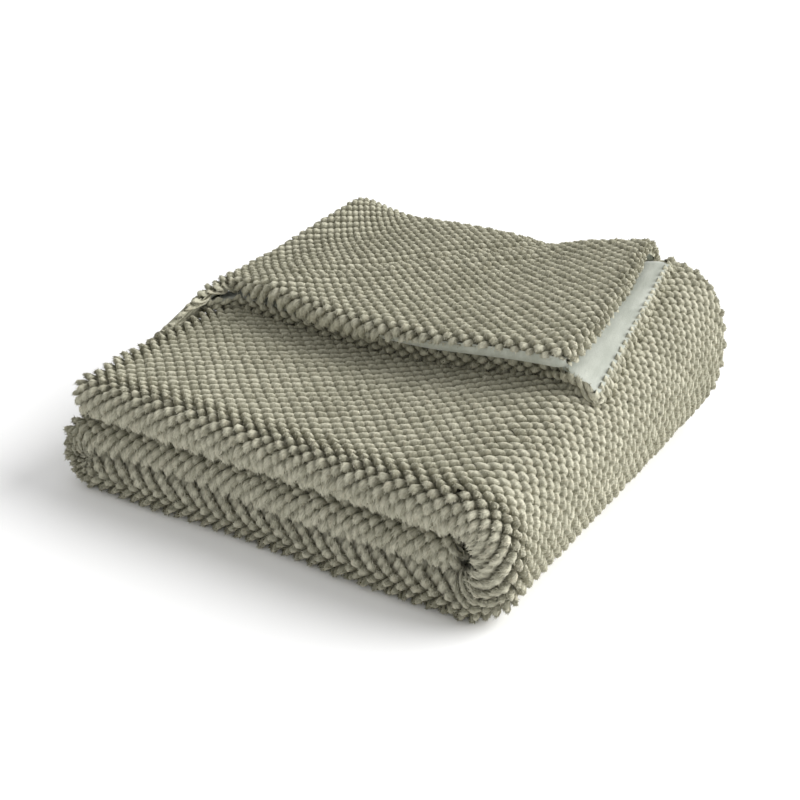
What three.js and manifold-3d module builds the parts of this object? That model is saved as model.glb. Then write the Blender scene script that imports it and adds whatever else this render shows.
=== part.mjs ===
// A plush throw, doubled along its length with the smooth reverse inside, folded in three like a
// letter, with its two hems turned back over the top as a flap of two plies.
// Millimetres, +Z up. X runs along the front with its three rolls, Y runs to the back, and the
// origin is the centre of the resting face, under the middle of the bounding box.

import * as THREE from 'three';
import Module from 'manifold-3d';
import * as BufferGeometryUtils from 'three/addons/utils/BufferGeometryUtils.js';

// Driving sizes of the folded stack
const stackWidth = 420;
const stackDepth = 410;
const frontLayer = 32;
const backLayerRise = 6;
const loopRise = 37;
const loopPower = 2.3;
const loopReachFront = 50;
const loopReachRise = 12;
const layerGap = 1.2;
const plySlit = 1.4;
const topEndInset = 20;
const hemInset = 8;

// Driving sizes of the flap
const upperHemY = -52;
const lowerHemY = -35;
const hemSpan = 190;
const upperHemCurve = { middleX: 30, leftRise: 30, rightRise: 12 };
const lowerHemCurve = { middleX: 15, leftRise: 17, rightRise: 18 };
const upperPly = 16;
const lowerPly = 13;
const restGap = 0.8;
const reverseSpace = 6;
const upperEdgeFront = 177;
const upperEdgeBack = 139;
const lowerEdgeFront = 201;
const lowerEdgeBack = 161;
const leftEdgeInset = 12;
const backFoldReach = 36;
const innerFoldReach = 17;
const sideDrop = 20;
const tongueLength = 112;

// Driving sizes of the smooth reverse
const reverseThickness = 1.2;
const reverseGap = 1;
const seamInset = 2.2;

// Finish of the two cloths
const plushColor = 0x9a9a80;
const reverseColor = 0xb9c2ae;

const halfWidth = stackWidth / 2;
const halfDepth = stackDepth / 2;
const topEndX = topEndInset - halfWidth;
const backFoldY = halfDepth - backFoldReach;

const clamp = (value, low, high) => Math.min(high, Math.max(low, value));
const mix = (a, b, t) => a + (b - a) * t;
const ease = (from, to, value) => {
  const t = clamp((value - from) / (to - from), 0, 1);
  return t * t * (3 - 2 * t);
};
const spaced = (from, to, count) => Array.from({ length: count }, (_, i) => mix(from, to, i / (count - 1)));

// How far back a point lies, from 0 at the front rolls to 1 at the back
const backShare = (y) => clamp((y + halfDepth) / stackDepth, 0, 1);

// Thickness of one doubled layer: a little looser at the back, most of all near the right loop
function layerAt(x, y) {
  const back = backShare(y);
  const loose = loopRise * back ** 1.8 * ease(40, 160, x);
  const wave = 0.5 * Math.sin(x / 46 + y / 70);
  return frontLayer + backLayerRise * back ** 1.2 + loose / 3 + wave;
}

// The right loop, an upright half oval from the top layer down to the bottom one
function rightLoop(y) {
  const height = 3 * layerAt(165, y);
  const reach = loopReachFront + loopReachRise * backShare(y);
  return { centerX: halfWidth - reach, reach, radius: height / 2 };
}

// Cosine or sine of an oval that is a little squarer than an ellipse
const squarish = (value) => Math.sign(value) * Math.abs(value) ** (2 / loopPower);

// Height of the stack's top face, with the shoulders at its two ends
function stackTop(x, y) {
  const loop = rightLoop(y);
  const over = clamp((x - loop.centerX) / loop.reach, 0, 0.96);
  const leftOver = clamp((topEndX - x) / 14, 0, 1);
  const flat = 3 * layerAt(Math.min(x, loop.centerX), y);
  const shoulder = loop.radius * (1 - (1 - over ** loopPower) ** (1 / loopPower));
  return flat - shoulder - sideDrop * leftOver ** 1.4;
}

// Rounds a ply off at its free edges: 1 inside, less within half a thickness of the edge
function edgeRound(distance, thickness) {
  const inside = clamp(distance / (thickness / 2), 0, 1);
  return Math.max(0.28, Math.sqrt(1 - (1 - inside) ** 2));
}

// A closed body between two grids of points, given as rows of [outer, inner] pairs
function sheetGeometry(rows) {
  const rowCount = rows.length;
  const columnCount = rows[0].length;
  const positions = [];
  const faces = [];
  for (const side of [0, 1]) {
    for (const row of rows) {
      for (const pair of row) positions.push(...pair[side]);
    }
  }
  const index = (side, r, c) => (side * rowCount + r) * columnCount + c;
  const quad = (a, b, c, d) => faces.push(a, b, c, a, c, d);
  for (let r = 0; r < rowCount - 1; r++) {
    for (let c = 0; c < columnCount - 1; c++) {
      quad(index(0, r, c), index(0, r + 1, c), index(0, r + 1, c + 1), index(0, r, c + 1));
      quad(index(1, r, c), index(1, r, c + 1), index(1, r + 1, c + 1), index(1, r + 1, c));
    }
  }
  const last = { r: rowCount - 1, c: columnCount - 1 };
  for (let c = 0; c < last.c; c++) {
    quad(index(0, 0, c), index(0, 0, c + 1), index(1, 0, c + 1), index(1, 0, c));
    quad(index(0, last.r, c + 1), index(0, last.r, c), index(1, last.r, c), index(1, last.r, c + 1));
  }
  for (let r = 0; r < last.r; r++) {
    quad(index(0, r + 1, 0), index(0, r, 0), index(1, r, 0), index(1, r + 1, 0));
    quad(index(0, r, last.c), index(0, r + 1, last.c), index(1, r + 1, last.c), index(1, r, last.c));
  }
  const geometry = new THREE.BufferGeometry();
  geometry.setAttribute('position', new THREE.Float32BufferAttribute(positions, 3));
  geometry.setIndex(faces);
  return facingOut(geometry);
}

// Turns a closed body's faces outward when its signed volume is negative
function facingOut(geometry) {
  const position = geometry.getAttribute('position');
  const index = geometry.getIndex();
  const [a, b, c] = [new THREE.Vector3(), new THREE.Vector3(), new THREE.Vector3()];
  let volume = 0;
  for (let i = 0; i < index.count; i += 3) {
    a.fromBufferAttribute(position, index.getX(i));
    b.fromBufferAttribute(position, index.getX(i + 1));
    c.fromBufferAttribute(position, index.getX(i + 2));
    volume += a.dot(b.cross(c));
  }
  if (volume < 0) {
    for (let i = 0; i < index.count; i += 3) {
      const second = index.getX(i + 1);
      index.setX(i + 1, index.getX(i + 2));
      index.setX(i + 2, second);
    }
  }
  return geometry;
}

// Stations along the letter fold: the top layer, the right loop, the bottom layer, the left loop
// and the middle layer that ends inside the right loop. Each gives the outer face at depth y.
const endSteps = [0, 1.5, 4, 8];

function letterStations() {
  const topRun = [...endSteps.map((d) => topEndX + d), ...spaced(topEndX + 26, 145, 9)];
  const middleRun = spaced(-140, 130, 7);
  return [
    ...topRun.map((x) => ({ kind: 'top', x, end: x - topEndX })),
    ...spaced(90, -90, 13).map((angle) => ({ kind: 'right', angle })),
    ...spaced(130, -150, 8).map((x) => ({ kind: 'bottom', x })),
    ...spaced(-90, -270, 9).map((angle) => ({ kind: 'left', angle })),
    ...middleRun.map((x) => ({ kind: 'middle', x })),
    ...[8, 4, 1.5, 0].map((end) => ({ kind: 'middleEnd', end })),
  ];
}

function stationFace(station, y) {
  const loop = rightLoop(y);
  if (station.kind === 'top') {
    return { x: station.x, z: 3 * layerAt(station.x, y), nx: 0, nz: 1, layer: layerAt(station.x, y) };
  }
  if (station.kind === 'right') {
    const angle = THREE.MathUtils.degToRad(station.angle);
    const layer = layerAt(165, y);
    const [nx, nz] = [Math.cos(angle), Math.sin(angle)];
    const x = loop.centerX + loop.reach * squarish(nx);
    return { x, z: loop.radius * (1 + squarish(nz)), nx, nz, layer };
  }
  if (station.kind === 'bottom') {
    return { x: station.x, z: 0, nx: 0, nz: -1, layer: layerAt(station.x, y) };
  }
  if (station.kind === 'left') {
    const angle = THREE.MathUtils.degToRad(station.angle);
    const layer = layerAt(-halfWidth, y);
    const [nx, nz] = [Math.cos(angle), Math.sin(angle)];
    return { x: layer - halfWidth + layer * nx, z: layer * (1 + nz), nx, nz, layer };
  }
  const x = station.kind === 'middle' ? station.x : loop.centerX + 3 - station.end;
  return { x, z: 2 * layerAt(x, y), nx: 0, nz: 1, layer: layerAt(x, y) };
}

// Where a layer's two hems lie at the back: the top layer stops inside the flap's back fold
function backHemY(station) {
  if (station.kind === 'top') return mix(backFoldY + 4, halfDepth - hemInset, ease(146, 160, station.x));
  if (station.kind === 'right') return halfDepth - hemInset + (station.angle > 80 ? -4 : 0);
  if (station.kind === 'middle' || station.kind === 'middleEnd') return halfDepth - hemInset - 4;
  return halfDepth - hemInset;
}

// How far each front roll stands out of the front face, as uneven as soft cloth
function frontRollY(station, x) {
  const table = {
    top: { out: 0, wave: 1.6, phase: 0.4 },
    right: { out: 1.5, wave: 0, phase: 0 },
    bottom: { out: 0.5, wave: 1.8, phase: 2.1 },
    left: { out: 0, wave: 0.6, phase: 1.2 },
    middle: { out: 3, wave: 1.4, phase: 3.6 },
    middleEnd: { out: 4, wave: 0, phase: 0 },
  };
  const row = table[station.kind];
  return row.out + row.wave * (1 + Math.sin(x / 38 + row.phase)) - halfDepth;
}

// The doubled strip, one ply down to the front roll and back again
function stripGeometry() {
  const hemSteps = [0, 1.5, 4, 8];
  const rollAngles = spaced(90, -90, 7).map((angle) => THREE.MathUtils.degToRad(angle));
  const rows = letterStations().map((station) => {
    const pairs = [];
    const hemY = backHemY(station);
    const add = (y, across, angle, hemDistance) => {
      const face = stationFace(station, y);
      const outer = (face.layer - layerGap) / 2;
      const inner = plySlit / 2;
      const end = station.end === undefined ? 1 : edgeRound(station.end, outer);
      const round = Math.min(end, edgeRound(hemDistance, outer));
      const middle = (outer + inner) / 2;
      const half = ((outer - inner) / 2) * round;
      const rollY = frontRollY(station, face.x);
      const place = (radius) => {
        const depth = angle === null ? y : rollY + outer - radius * Math.cos(angle);
        const offset = angle === null ? across * radius : radius * Math.sin(angle);
        const inward = face.layer / 2 - offset - layerGap / 2;
        return [face.x - face.nx * inward, depth, face.z - face.nz * inward];
      };
      pairs.push([place(middle + half), place(middle - half)]);
    };
    const flatRun = spaced(hemY - 12, 28 - halfDepth, 6);
    for (const d of hemSteps) add(hemY - d, 1, null, d);
    for (const y of flatRun) add(y, 1, null, 99);
    for (const angle of rollAngles) add(frontLayer / 2 - halfDepth, 0, angle, 99);
    for (const y of [...flatRun].reverse()) add(y, -1, null, 99);
    for (const d of [...hemSteps].reverse()) add(hemY - d, -1, null, d);
    return pairs;
  });
  return sheetGeometry(rows);
}

// The flap's free edges in plan
const flapShare = (y) => clamp((y - upperHemY) / (halfDepth - upperHemY), 0, 1);
const upperRightX = (y) => mix(upperEdgeFront, upperEdgeBack, clamp((y + 15) / 215, 0, 1) ** 1.6);
const lowerRightX = (y) => mix(lowerEdgeFront, lowerEdgeBack, flapShare(y));
const upperLeftX = (y) => 7 - halfWidth + leftEdgeInset * ease(-80, 60, y);
const lowerLeftX = () => topEndX + 2;

// A hem's bow: furthest forward in the middle, drawn back towards both ends
function hemBow(x, curve) {
  const rise = x < curve.middleX ? curve.leftRise : curve.rightRise;
  return rise * ((x - curve.middleX) / hemSpan) ** 2;
}

const upperHemAt = (x) => upperHemY + hemBow(x, upperHemCurve) - tongueLength * ease(-182, -198, x);
const lowerHemAt = (x) => lowerHemY + hemBow(x, lowerHemCurve);

// How strongly the plies are pressed down towards the left front corner of the flap
function pressed(x, y) {
  const reach = 70 + 0.5 * clamp(y, 0, 150);
  return ease(topEndX + reach, topEndX, x) * (1 - 0.9 * ease(0, 190, y));
}

// How much the plies are flattened where they turn over at the right end of the back
const flattened = (x, y) => ease(80, 140, x) * ease(30, 165, y);

// Lowest and highest face of each ply of the flap
function lowerFaces(x, y) {
  const thickness = lowerPly * (1 - 0.5 * pressed(x, y)) * (1 - 0.3 * flattened(x, y));
  const bottom = stackTop(x, y) + restGap;
  const edge = Math.min(lowerRightX(y) - x, x - lowerLeftX(y), y - lowerHemAt(x));
  const half = (thickness / 2) * edgeRound(edge, lowerPly);
  return { low: bottom + thickness / 2 - half, high: bottom + thickness / 2 + half };
}

function upperFaces(x, y) {
  const pressure = pressed(x, y);
  const flatness = flattened(x, y);
  const thickness = upperPly * (1 - 0.42 * pressure) * (1 - 0.25 * flatness);
  const leftX = lowerLeftX(y);
  const overLower = ease(leftX - 18, leftX - 3, x) * ease(lowerHemY - 40, lowerHemY, y + 26);
  const lowerHeight = lowerPly * (1 - 0.5 * pressure) * (1 - 0.3 * flatness) + reverseSpace;
  const bottom = stackTop(x, y) + restGap + lowerHeight * overLower;
  const edge = Math.min(upperRightX(y) - x, x - upperLeftX(y), y - upperHemAt(x));
  const half = (thickness / 2) * edgeRound(edge, upperPly);
  return { low: bottom + thickness / 2 - half, high: bottom + thickness / 2 + half };
}

// Stations across the flap from its left edge to its right edge, closer near both edges
const acrossShares = [0, 0.03, 0.06, 0.1, ...spaced(0.18, 0.9, 8), 1];

function flapStations(leftAt, rightAt) {
  const steps = [0, 1.5, 4, 8];
  return [
    ...steps.map((d) => (y) => leftAt(y) + d),
    ...acrossShares.slice(1).map((share) => (y) => mix(leftAt(y) + 8, rightAt(y) - 8, share)),
    ...[...steps].reverse().map((d) => (y) => rightAt(y) - d),
  ];
}

// One ply of the flap: from its hem back over the stack, round the back fold and into the layer
function plyGeometry(settings) {
  const { stations, hemAt, faces, foldY, foldReach, tail } = settings;
  const foldAngles = spaced(75, -90, 8).map((angle) => THREE.MathUtils.degToRad(angle));
  const rows = stations.map((xAt, row) => {
    const edge = Math.min(row, stations.length - 1 - row);
    const endRound = edgeRound([0, 1.5, 4, 99][Math.min(edge, 3)], upperPly);
    const pairs = [];
    const hemY = hemAt(xAt(upperHemY));
    const flatRun = [0, 1.5, 4, 8].map((d) => hemY + d).concat(spaced(hemY + 18, foldY, 10));
    for (const y of flatRun) {
      const x = xAt(y);
      const face = faces(x, y);
      pairs.push([[x, y, face.high], [x, y, face.low]]);
    }
    const x = xAt(foldY);
    const top = faces(x, foldY);
    const thickness = top.high - top.low;
    const bottom = tail(x);
    const middleTop = (top.high + top.low) / 2;
    const centerZ = (middleTop + bottom.z) / 2;
    const rise = (middleTop - bottom.z) / 2;
    const reach = foldReach - Math.max(thickness, bottom.thickness) / 2;
    for (const angle of foldAngles) {
      const [cos, sin] = [Math.cos(angle), Math.sin(angle)];
      const half = mix(thickness, bottom.thickness * endRound, (1 - sin) / 2) / 2;
      const point = (offset) => [x, foldY + (reach + offset) * cos, centerZ + (rise + offset) * sin];
      pairs.push([point(half), point(-half)]);
    }
    for (const y of [foldY - 8, foldY - 18]) {
      const half = (bottom.thickness / 2) * endRound * (y < foldY - 10 ? 0.6 : 0.85);
      pairs.push([[x, y, bottom.z - half], [x, y, bottom.z + half]]);
    }
    return pairs;
  });
  return sheetGeometry(rows);
}

// A ply's tail stays a little thinner than the ply of the layer that it runs into
const tailThickness = (layer) => Math.min(upperPly - 1, (layer - layerGap) / 2 - 1.6);

function upperPlyGeometry() {
  return plyGeometry({
    stations: flapStations(upperLeftX, upperRightX),
    hemAt: upperHemAt,
    faces: upperFaces,
    foldY: backFoldY,
    foldReach: backFoldReach,
    tail: (x) => {
      const layer = layerAt(Math.max(x, topEndX), backFoldY);
      return { z: 2 * layer + layerGap + (layer - layerGap) / 4, thickness: tailThickness(layer) };
    },
  });
}

function lowerPlyGeometry() {
  return plyGeometry({
    stations: flapStations(lowerLeftX, lowerRightX),
    hemAt: lowerHemAt,
    faces: lowerFaces,
    foldY: backFoldY,
    foldReach: innerFoldReach,
    tail: (x) => {
      const layer = layerAt(Math.min(x, 150), backFoldY);
      return { z: 3 * layer - (layer - layerGap) / 4, thickness: tailThickness(layer) };
    },
  });
}

// The smooth reverse between the flap's plies, one sheet folded at the back
function reverseGeometry() {
  const half = reverseThickness / 2;
  const lift = reverseGap + half;
  const bendY = backFoldY - 12;
  const edgeSteps = [0, 2, 5];
  const leftX = lowerLeftX(bendY) + 6 * seamInset;
  const stations = [
    ...edgeSteps.map((d) => () => leftX + d),
    ...acrossShares.slice(1, -1).map((share) => (rightX) => mix(leftX, rightX, share)),
    ...[...edgeSteps].reverse().map((d) => (rightX) => rightX - d),
  ];
  const rows = stations.map((xAt) => {
    const pairs = [];
    const lowerHem = lowerHemAt(xAt(lowerEdgeFront)) + seamInset;
    const upperHem = Math.max(lowerHem - 14, upperHemAt(xAt(upperEdgeFront)) + seamInset);
    for (const y of [lowerHem, lowerHem + 2, lowerHem + 5, ...spaced(lowerHem + 14, bendY, 9)]) {
      const x = xAt(lowerRightX(y) - seamInset);
      const z = lowerFaces(x, y).high + lift;
      pairs.push([[x, y, z + half], [x, y, z - half]]);
    }
    const lowX = xAt(lowerRightX(bendY) - seamInset);
    const highX = xAt(upperRightX(bendY) - seamInset);
    const lowZ = lowerFaces(lowX, bendY).high + lift;
    const highZ = upperFaces(highX, bendY).low - lift;
    for (const degrees of [-45, 0, 45]) {
      const angle = THREE.MathUtils.degToRad(degrees);
      const share = (1 + Math.sin(angle)) / 2;
      const x = mix(lowX, highX, share);
      const rise = (highZ - lowZ) / 2;
      const point = (offset) => [
        x,
        bendY + (rise + offset) * Math.cos(angle),
        (lowZ + highZ) / 2 + (rise + offset) * Math.sin(angle),
      ];
      pairs.push([point(-half), point(half)]);
    }
    for (const y of [...spaced(bendY, upperHem + 14, 9), upperHem + 5, upperHem + 2, upperHem]) {
      const x = xAt(upperRightX(y) - seamInset);
      const z = upperFaces(x, y).low - lift;
      pairs.push([[x, y, z - half], [x, y, z + half]]);
    }
    return pairs;
  });
  return sheetGeometry(rows);
}

const wasm = await Module();
wasm.setup();

function toManifold(geometry) {
  const bare = geometry.clone();
  bare.deleteAttribute('normal');
  bare.deleteAttribute('uv');
  const merged = BufferGeometryUtils.mergeVertices(bare, 1e-4);
  const vertProperties = new Float32Array(merged.getAttribute('position').array);
  const triVerts = new Uint32Array(merged.getIndex().array);
  return new wasm.Manifold(new wasm.Mesh({ numProp: 3, vertProperties, triVerts }));
}

function fromManifold(manifold) {
  const mesh = manifold.getMesh();
  const geometry = new THREE.BufferGeometry();
  geometry.setAttribute('position', new THREE.BufferAttribute(mesh.vertProperties, 3));
  geometry.setIndex(new THREE.BufferAttribute(mesh.triVerts, 1));
  return geometry;
}

function clothMesh(name, geometry, color, roughness) {
  geometry.computeVertexNormals();
  const material = new THREE.MeshStandardMaterial({ color, roughness, metalness: 0 });
  const mesh = new THREE.Mesh(geometry, material);
  mesh.name = name;
  return mesh;
}

const strip = toManifold(stripGeometry());
const upper = toManifold(upperPlyGeometry());
const lower = toManifold(lowerPlyGeometry());
const plush = strip.add(upper).add(lower);

const throwGroup = new THREE.Group();
throwGroup.add(clothMesh('plush_face', fromManifold(plush), plushColor, 0.95));
throwGroup.add(clothMesh('smooth_reverse', reverseGeometry(), reverseColor, 0.6));

export default throwGroup;
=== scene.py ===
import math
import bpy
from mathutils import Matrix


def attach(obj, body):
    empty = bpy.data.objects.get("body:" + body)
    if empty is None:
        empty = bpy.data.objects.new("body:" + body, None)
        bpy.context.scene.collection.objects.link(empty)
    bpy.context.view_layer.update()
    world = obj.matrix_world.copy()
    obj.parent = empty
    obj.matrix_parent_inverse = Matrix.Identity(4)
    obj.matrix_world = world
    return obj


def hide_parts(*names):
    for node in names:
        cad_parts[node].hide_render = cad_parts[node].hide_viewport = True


bl_info = {
    "name": "Folded plush throw",
    "version": (1, 0, 0),
    "blender": (4, 5, 0),
    "location": "View3D > Sidebar > Throw",
    "description": "A tufted plush throw with a smooth reverse, folded with a turned-back flap",
    "category": "Object",
}

from collections import namedtuple

import bpy
import numpy as np
from mathutils import Vector

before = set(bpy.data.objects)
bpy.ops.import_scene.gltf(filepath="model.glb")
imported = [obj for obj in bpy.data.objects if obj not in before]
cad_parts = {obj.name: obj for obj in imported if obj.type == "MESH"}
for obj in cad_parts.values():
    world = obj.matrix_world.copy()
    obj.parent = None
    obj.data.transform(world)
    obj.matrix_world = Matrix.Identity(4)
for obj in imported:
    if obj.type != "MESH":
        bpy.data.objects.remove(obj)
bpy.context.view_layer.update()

# Driving sizes of the folded stack, in metres, as in the solids
STACK_WIDTH = 0.420
STACK_DEPTH = 0.410
FRONT_LAYER = 0.032
BACK_LAYER_RISE = 0.006
LOOP_RISE = 0.037
LOOP_POWER = 2.3
LAYER_GAP = 0.0012
PLY_SLIT = 0.0014
TOP_END_INSET = 0.020
HEM_INSET = 0.008
HALF_WIDTH = STACK_WIDTH / 2
HALF_DEPTH = STACK_DEPTH / 2
TOP_END_X = TOP_END_INSET - HALF_WIDTH

# Driving sizes of the flap
UPPER_HEM_Y = -0.050
LOWER_HEM_Y = -0.033
HEM_SPAN = 0.190
UPPER_PLY = 0.016
LOWER_PLY = 0.013
REST_GAP = 0.0008
REVERSE_SPACE = 0.006
UPPER_EDGE_FRONT = 0.168
UPPER_EDGE_BACK = 0.134
LOWER_EDGE_FRONT = 0.1975
LOWER_EDGE_BACK = 0.159
BACK_FOLD_REACH = 0.036
INNER_FOLD_REACH = 0.017
SIDE_DROP = 0.020
TONGUE_LENGTH = 0.110
BACK_FOLD_Y = HALF_DEPTH - BACK_FOLD_REACH
UPPER_LEFT_X = 0.007 - HALF_WIDTH
LOWER_LEFT_X = TOP_END_X - 0.004

# How the cloth turns over a front roll and round a free edge
ROLL_RADIUS = 0.0154
ROLL_QUARTER = ROLL_RADIUS * math.pi / 2
ROLL_CENTER_Y = ROLL_RADIUS - HALF_DEPTH
EDGE_RADIUS = 0.0075

# How far the left back corner of the stack is drawn in, and up, and from what height it rises in full
DRAWN_IN = 0.020
DRAWN_UP = 0.014
DRAWN_FROM = 0.14

# How far the lower hem comes forward at its left and right ends, and the upper ply droops at the left
LEFT_END_FORWARD = 0.024
RIGHT_END_FORWARD = 0.018
TONGUE_DROOP = 0.007

# Extra length of cloth where the flap hangs over the left end
TONGUE_HANG = 0.012

# Spacing of the cloth's grid, and the usual width and depth of the flap that it is counted by
GRID_STEP = 0.0026
FLAP_WIDTH = 0.375
FLAP_DEPTH = 0.215


def ease(start, end, value):
    t = np.clip((value - start) / (end - start), 0.0, 1.0)
    return t * t * (3.0 - 2.0 * t)


def blend(a, b, t):
    return a + (b - a) * t


def spread(start, end, step):
    """Evenly spaced values from start to end, about a step apart."""
    count = max(2, int(round(abs(end - start) / step)) + 1)
    return np.linspace(start, end, count)


def mean_radius(one, two):
    """The radius of a circle about as long round as an oval with these two."""
    return np.sqrt((one**2 + two**2) / 2)


def between_corners(corners, s, t):
    """The value at shares s and t of a grid cell, from its four corners."""
    one, two, three, four = corners
    return blend(blend(one, two, s), blend(three, four, s), t)


def back_share(y):
    return np.clip((y + HALF_DEPTH) / STACK_DEPTH, 0.0, 1.0)


def layer_at(x, y):
    """Thickness of one doubled layer, looser at the back and most of all near the right loop."""
    back = back_share(y)
    loose = LOOP_RISE * back**1.8 * ease(0.040, 0.160, x)
    wave = 0.0005 * np.sin(x / 0.046 + y / 0.070)
    return FRONT_LAYER + BACK_LAYER_RISE * back**1.2 + loose / 3 + wave


def right_loop(y):
    """The right loop's centre, reach and radius, a squarish oval seen from the front."""
    reach = 0.050 + 0.012 * back_share(y)
    radius = 1.5 * layer_at(0.165, y)
    return HALF_WIDTH + 0.001 - reach, reach, radius


def squarish(value):
    """Cosine or sine of an oval that is a little squarer than an ellipse."""
    return np.sign(value) * np.abs(value) ** (2 / LOOP_POWER)


def stack_top(x, y):
    center, reach, radius = right_loop(y)
    over = np.clip((x - center) / reach, 0.0, 0.96)
    left_over = np.clip((TOP_END_X - x) / 0.014, 0.0, 1.0)
    flat = 3 * layer_at(np.minimum(x, center), y)
    shoulder = radius * (1 - (1 - over**LOOP_POWER) ** (1 / LOOP_POWER))
    return flat - shoulder - SIDE_DROP * left_over**1.4


# The doubled strip along its letter fold


def strip_face(kind, value, y):
    """The strip's outer face at one station and depth: place, outward direction, thickness, run."""
    center, reach, radius = right_loop(y)
    loop_run = math.pi * mean_radius(reach, radius)
    left_layer = layer_at(-HALF_WIDTH, y)
    top_run = center - TOP_END_X
    left_x = left_layer - HALF_WIDTH
    nx, nz = np.cos(value) + 0 * y, np.sin(value) + 0 * y
    if kind == "top":
        x = value + 0 * y
        return x, 3 * layer_at(x, y), 0 * x, 1 + 0 * x, layer_at(x, y), x - TOP_END_X
    if kind == "right":
        run = top_run + loop_run * (math.pi / 2 - value) / math.pi
        x = center + reach * squarish(nx)
        return x, radius * (1 + squarish(nz)), nx, nz, layer_at(0.165, y), run
    run = top_run + loop_run
    if kind == "bottom":
        x = value + 0 * y
        return x, 0 * x, 0 * x, 0 * x - 1, layer_at(x, y), run + center - x
    run = run + center - left_x
    if kind == "left":
        x = left_x + left_layer * nx
        return x, left_layer * (1 + nz), nx, nz, left_layer, run + left_layer * (-math.pi / 2 - value)
    run = run + math.pi * left_layer
    x = center + 0.003 - value if kind == "middle_end" else value + 0 * y
    return x, 2 * layer_at(x, y), 0 * x, 1 + 0 * x, layer_at(x, y), run + x - left_x


# How far each front roll stands back from the front, its wave along the roll, and the wave's phase
ROLL_OUT = {
    "top": (0.0, 0.0016, 0.4),
    "right": (0.0015, 0.0, 0.0),
    "bottom": (0.0005, 0.0018, 2.1),
    "left": (0.0, 0.0006, 1.2),
    "middle": (0.003, 0.0014, 3.6),
    "middle_end": (0.004, 0.0, 0.0),
}


def flat_columns(start, end, side, step):
    return [("flat", v, side) for v in spread(start, end, step)]


def roll_columns(start, end, step):
    return [("roll", v, 0) for v in spread(start, end, step / ROLL_RADIUS)]


def hem_columns(hem_y, side, step):
    return [("hem", v, side, hem_y) for v in spread(0.0, math.pi, step / EDGE_RADIUS)[1:]]


def drawn_in(points):
    """The stack is narrower and stands a little higher at its left back corner."""
    x, y, z = points[..., 0], points[..., 1], points[..., 2]
    share = ease(0.02, 0.20, y) * ease(-0.10, -0.20, x)
    rise = DRAWN_UP * share * np.clip(z / DRAWN_FROM, 0.0, 1.0)
    return points + np.stack([DRAWN_IN * share, 0 * share, rise], axis=-1)


def strip_grid(blocks, columns):
    """Points, outward directions and cloth coordinates of a patch of the strip's plush face.

    A block is a kind of station, its values and, at a free end, the angle that the ply has turned.
    """
    flat, roll = (np.array([c[0] == kind for c in columns]) for kind in ("flat", "roll"))
    value = np.array([c[1] for c in columns])
    side = np.array([c[2] if c[0] != "roll" else 0.0 for c in columns])
    hem_y = np.array([c[3] if c[0] == "hem" else 0.0 for c in columns])

    def choose(on_flat, on_roll, on_hem):
        return np.where(flat, on_flat, np.where(roll, on_roll, on_hem))

    depth = choose(value, ROLL_CENTER_Y, hem_y - EDGE_RADIUS)
    dir_y = choose(0.0, -np.cos(value), np.sin(value))
    dir_n = choose(side, np.sin(value), side * np.cos(value))
    across = choose(
        side * (ROLL_QUARTER + value - ROLL_CENTER_Y),
        value * ROLL_RADIUS,
        side * (ROLL_QUARTER + hem_y - EDGE_RADIUS - ROLL_CENTER_Y + EDGE_RADIUS * value),
    )
    points, outward, runs, acrosses = [], [], [], []
    for kind, values, turns in blocks:
        station = np.asarray(values)[:, None]
        turn = np.asarray(turns)[:, None] + 0 * station
        y = depth[None, :] + 0 * station
        x, z, nx, nz, layer, run = strip_face(kind, station, y)
        outer = (layer - LAYER_GAP) / 2
        inner = PLY_SLIT / 2
        middle, half = (outer + inner) / 2, (outer - inner) / 2
        out, wave, phase = ROLL_OUT[kind]
        roll_y = out + wave * (1 + np.sin(x / 0.038 + phase)) - HALF_DEPTH
        radial = middle + half * np.cos(turn)
        turned_half = half * np.cos(turn) * np.cos(value)
        offset = choose(side * radial, radial * dir_n, side * (middle + turned_half))
        place_y = choose(
            y + (roll_y + HALF_DEPTH) * ease(0.05 - HALF_DEPTH, -HALF_DEPTH, y),
            roll_y + outer + radial * dir_y,
            hem_y - EDGE_RADIUS + EDGE_RADIUS * dir_y,
        )
        # At a free end the face turns over, so its run goes on and its direction follows the turn
        end_sign = -1.0 if kind == "top" else 1.0
        run = run + end_sign * (turn * EDGE_RADIUS)
        x = x + np.where(turn > 0, end_sign * (np.sin(turn) * EDGE_RADIUS), 0.0)
        inward = layer / 2 - offset - LAYER_GAP / 2
        points.append(np.stack([x - nx * inward, place_y, z - nz * inward], axis=-1))
        facing = dir_n * np.cos(turn)
        outward.append(
            np.stack([nx * facing + end_sign * np.sin(turn), dir_y + 0 * facing, nz * facing], axis=-1)
        )
        runs.append(run + 0 * y)
        acrosses.append(across[None, :] + 0 * y)
    grids = [np.concatenate(parts, axis=0) for parts in (points, outward, runs, acrosses)]
    return [drawn_in(grids[0])] + grids[1:]


# The flap


def flap_share(y):
    return np.clip((y - UPPER_HEM_Y) / (HALF_DEPTH - UPPER_HEM_Y), 0.0, 1.0)


def upper_right_x(y):
    return blend(UPPER_EDGE_FRONT, UPPER_EDGE_BACK, np.clip((y + 0.015) / 0.215, 0.0, 1.0) ** 1.6)


def lower_right_x(y):
    return blend(LOWER_EDGE_FRONT, LOWER_EDGE_BACK, flap_share(y))


def hem_bow(x, middle_x, left_rise, right_rise):
    """How far a hem draws back from its middle towards both ends."""
    rise = np.where(x < middle_x, left_rise, right_rise)
    return rise * ((x - middle_x) / HEM_SPAN) ** 2


def upper_hem_line(x):
    return UPPER_HEM_Y + hem_bow(x, 0.030, 0.030, 0.012)


def upper_hem_at(x):
    return upper_hem_line(x) - TONGUE_LENGTH * ease(-0.182, -0.198, x)


def lower_hem_at(x):
    return LOWER_HEM_Y + hem_bow(x, 0.015, 0.017, 0.018) - LEFT_END_FORWARD * ease(-0.165, -0.190, x)


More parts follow.
